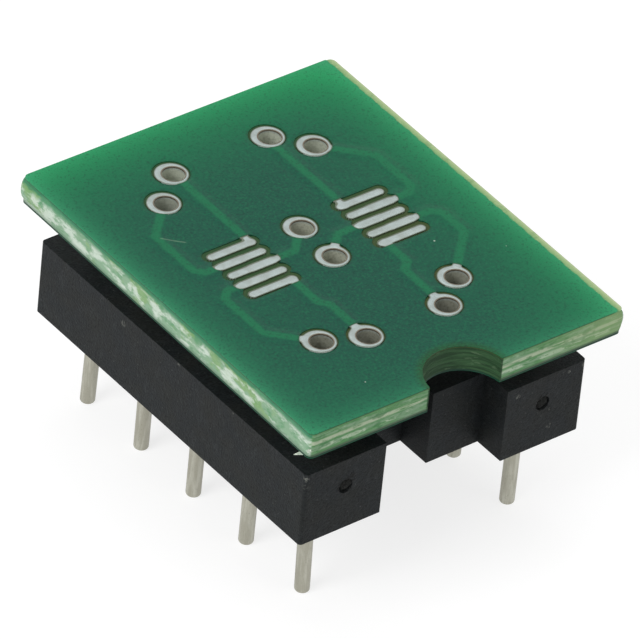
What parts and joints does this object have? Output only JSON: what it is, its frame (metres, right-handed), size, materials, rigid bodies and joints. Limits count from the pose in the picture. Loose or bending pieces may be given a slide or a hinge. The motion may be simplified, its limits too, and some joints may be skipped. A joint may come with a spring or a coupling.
{
  "type": "ic programming adapter",
  "caption": "Small green circuit board with fine-pitch lands and plated holes, held above a black open-frame carrier by round pins in dual in-line rows.",
  "frame": {"origin": "centre of the pin grid, at the level of the pin tips", "axes": "+Z from the pin tips up to the board, -Y towards the notch end, +X across the board's short side"},
  "size_m": [0.0114, 0.0141, 0.0077],
  "materials": {
    "moulding": "black glass-filled moulding, matte, lightly scuffed",
    "laminate": "glass and resin laminate, cut edges pale green with fibres",
    "mask": "green solder mask, satin",
    "tin": "tinned copper, matte light grey",
    "pin_plate": "tin-plated brass, matte warm grey"
  },
  "bodies": {
    "root": {"carrier": "moulding", "board": "laminate", "mask_top": "mask", "mask_bottom": "mask", "copper_left_1": "tin", "copper_left_2": "tin", "copper_left_3": "tin", "copper_left_4": "tin", "copper_left_5": "tin", "copper_right_1": "tin", "copper_right_2": "tin", "copper_right_3": "tin", "copper_right_4": "tin", "copper_right_5": "tin", "pin_left_1": "pin_plate", "pin_left_2": "pin_plate", "pin_left_3": "pin_plate", "pin_left_4": "pin_plate", "pin_left_5": "pin_plate", "pin_right_1": "pin_plate", "pin_right_2": "pin_plate", "pin_right_3": "pin_plate", "pin_right_4": "pin_plate", "pin_right_5": "pin_plate"}
  },
  "joints": []
}
